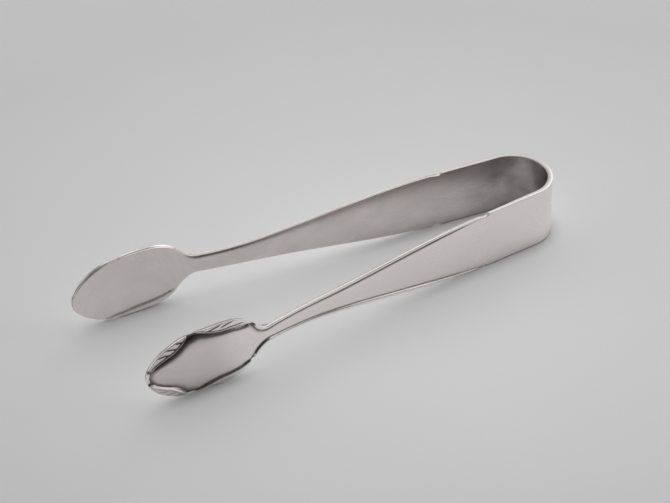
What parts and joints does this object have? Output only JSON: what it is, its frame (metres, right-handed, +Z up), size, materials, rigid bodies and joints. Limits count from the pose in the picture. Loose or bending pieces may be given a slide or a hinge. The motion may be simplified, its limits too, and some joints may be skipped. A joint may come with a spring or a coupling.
{
  "type": "sugar tongs",
  "caption": "Spring-bow sugar tongs: tapering arms with beaded edges end in leaf-shaped bowls with scrolled rims. Squeezing the arms closes the bowls on a lump.",
  "frame": {"origin": "middle of the tongs' box, on the surface that they lie on", "axes": "+X along the tongs towards the bow, +Y across to the right-hand arm, +Z up across the strip's width"},
  "size_m": [0.1134, 0.0358, 0.0158],
  "materials": {
    "satin_silver": "satin silver, lightly brushed along the strip",
    "relief_silver": "polished silver relief with tarnish in its grooves"
  },
  "bodies": {
    "bow": {"bow_crown": "satin_silver"},
    "left_side": {"left_shoulder": "satin_silver", "left_arm": "satin_silver", "left_bowl": "satin_silver", "left_upper_thread": "relief_silver", "left_lower_thread": "relief_silver", "left_upper_rear_scroll": "relief_silver", "left_lower_rear_scroll": "relief_silver", "left_upper_front_scroll": "relief_silver", "left_lower_front_scroll": "relief_silver", "left_tip_shell": "relief_silver"},
    "right_side": {"right_shoulder": "satin_silver", "right_arm": "satin_silver", "right_bowl": "satin_silver", "right_upper_thread": "relief_silver", "right_lower_thread": "relief_silver", "right_upper_rear_scroll": "relief_silver", "right_lower_rear_scroll": "relief_silver", "right_upper_front_scroll": "relief_silver", "right_lower_front_scroll": "relief_silver", "right_tip_shell": "relief_silver"}
  },
  "joints": [
    {"name": "left_arm_flex", "type": "hinge", "parent": "bow", "child": "left_side", "pos_m": [0.05369, -0.00594, 0.007], "axis": [0, 0, -1], "range_deg": [-1.5, 7.9], "stiffness_Nm_per_rad": 3},
    {"name": "right_arm_flex", "type": "hinge", "parent": "bow", "child": "right_side", "pos_m": [0.05369, 0.00594, 0.007], "axis": [0, 0, 1], "range_deg": [-1.5, 7.9], "stiffness_Nm_per_rad": 3}
  ],
  "couplings": [
    {"joint": "right_arm_flex", "follows": "left_arm_flex", "ratio": 1}
  ]
}
